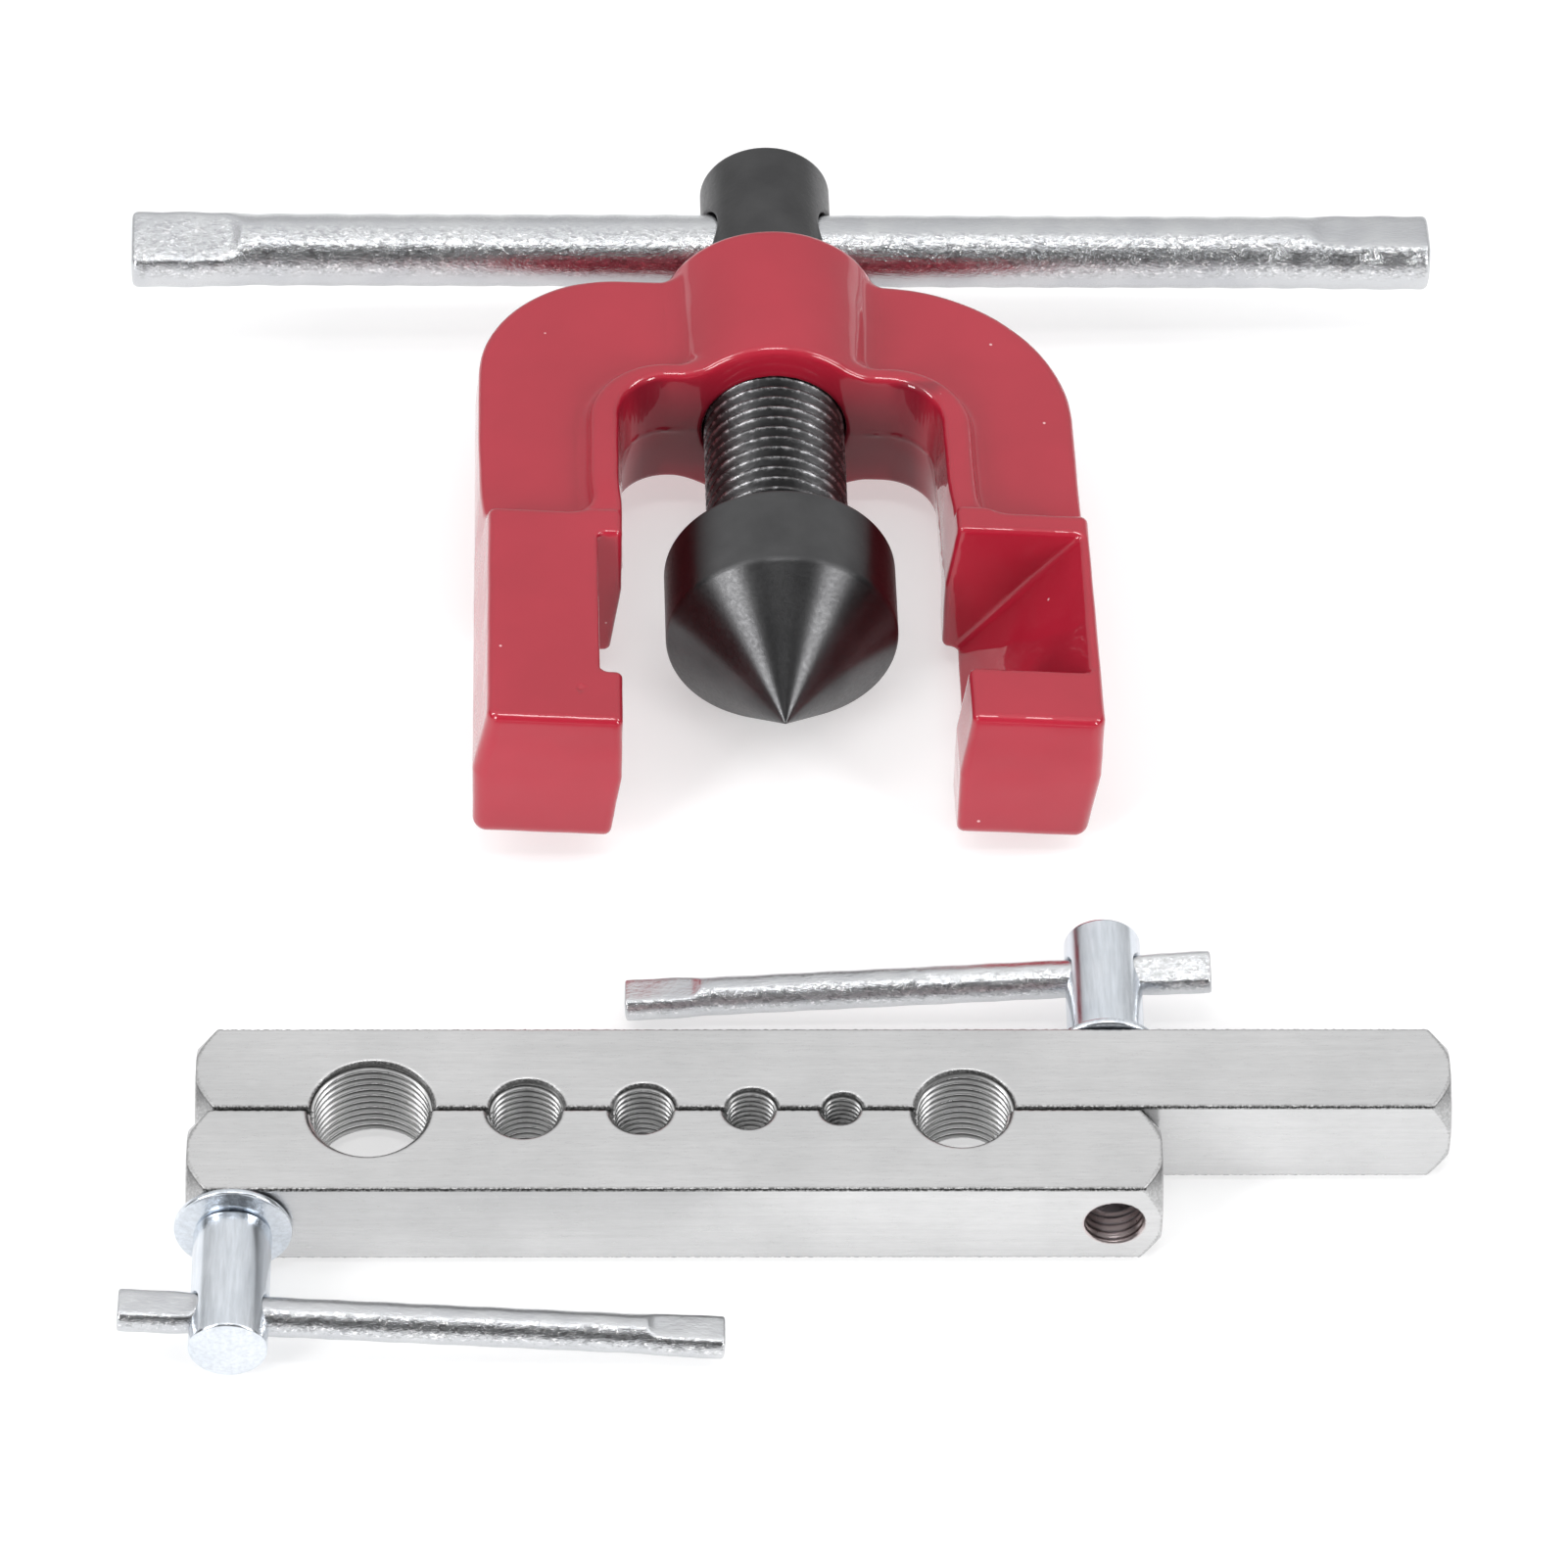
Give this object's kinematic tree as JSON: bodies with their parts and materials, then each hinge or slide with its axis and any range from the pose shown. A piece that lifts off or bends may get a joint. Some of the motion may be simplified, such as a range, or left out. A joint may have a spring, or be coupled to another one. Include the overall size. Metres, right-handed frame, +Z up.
{
  "type": "tube flaring tool",
  "caption": "Tube flaring tool lying on a bench: split die bars with ridged tube holes and clamp screws, and a loose red yoke whose T-handle screw drives a black flaring cone.",
  "frame": {"origin": "centre of the long bar's underside (X and Y centre of the bar, Z at its flat underside)", "axes": "+X along the die bars towards the right clamp screw, +Y from the bars towards the yoke lying behind them, +Z up from the bench"},
  "size_m": [0.1882, 0.212, 0.0324],
  "materials": {
    "die_nickel": "satin nickel plate over fine milling marks",
    "bright_zinc": "bright zinc plate, bluish, semi-gloss",
    "bar_zinc": "bright zinc plate over drawn bar, grainy sparkle",
    "red_enamel": "glossy red enamel on a casting",
    "black_oxide": "black oxide, satin, turned",
    "spring_steel": "oiled spring steel",
    "ball_steel": "polished bearing steel"
  },
  "bodies": {
    "long_bar": {"long_bar": "die_nickel"},
    "short_bar": {"short_bar": "die_nickel"},
    "left_clamp": {"left_clamp_screw": "bright_zinc", "left_clamp_washer": "bright_zinc"},
    "left_tommy": {"left_tommy_bar": "bar_zinc"},
    "right_clamp": {"right_clamp_screw": "bright_zinc", "right_clamp_washer": "bright_zinc"},
    "right_tommy": {"right_tommy_bar": "bar_zinc"},
    "yoke": {"yoke_casting": "red_enamel"},
    "cone": {"flaring_cone": "black_oxide", "cone_retaining_ring": "spring_steel", "thrust_ball": "ball_steel"},
    "feed_screw": {"feed_screw": "black_oxide"},
    "feed_handle": {"feed_handle": "bar_zinc"}
  },
  "joints": [
    {"name": "right_clamp_turn", "type": "hinge", "parent": "long_bar", "child": "right_clamp", "pos_m": [0.0382, 0.007, 0.007], "axis": [0, 1, 0], "range_deg": [0, 1440]},
    {"name": "bars_open", "type": "slide", "parent": "long_bar", "child": "short_bar", "axis": [0, -1, 0], "range_m": [0, 0.005]},
    {"name": "left_clamp_turn", "type": "hinge", "parent": "short_bar", "child": "left_clamp", "pos_m": [-0.078, -0.0213, 0.007], "axis": [0, -1, 0], "range_deg": [0, 1440]},
    {"name": "left_tommy_slide", "type": "slide", "parent": "left_clamp", "child": "left_tommy", "axis": [0.9973, 0, -0.0732], "range_m": [-0.049, 0]},
    {"name": "right_tommy_slide", "type": "slide", "parent": "right_clamp", "child": "right_tommy", "axis": [0.9973, 0, 0.0732], "range_m": [0, 0.049]},
    {"name": "yoke_slide", "type": "slide", "parent": "long_bar", "child": "yoke", "axis": [0, 1, 0], "range_m": [0, 0.08]},
    {"name": "cone_feed", "type": "slide", "parent": "yoke", "child": "cone", "axis": [0.0209, -0.9998, 0], "range_m": [-0.024, 0.004]},
    {"name": "screw_turn", "type": "hinge", "parent": "cone", "child": "feed_screw", "pos_m": [-0.006, 0.1315, 0.0154], "axis": [0.0209, -0.9998, 0], "range_deg": [-4320, 720]},
    {"name": "handle_slide", "type": "slide", "parent": "feed_screw", "child": "feed_handle", "axis": [0.9995, 0.0209, -0.0227], "range_m": [-0.07, 0.067]}
  ],
  "couplings": [
    {"joint": "right_clamp_turn", "follows": "bars_open", "rad_per_m": 5026.5},
    {"joint": "left_clamp_turn", "follows": "bars_open", "rad_per_m": 5026.5},
    {"joint": "screw_turn", "follows": "cone_feed", "rad_per_m": 3141.6}
  ]
}
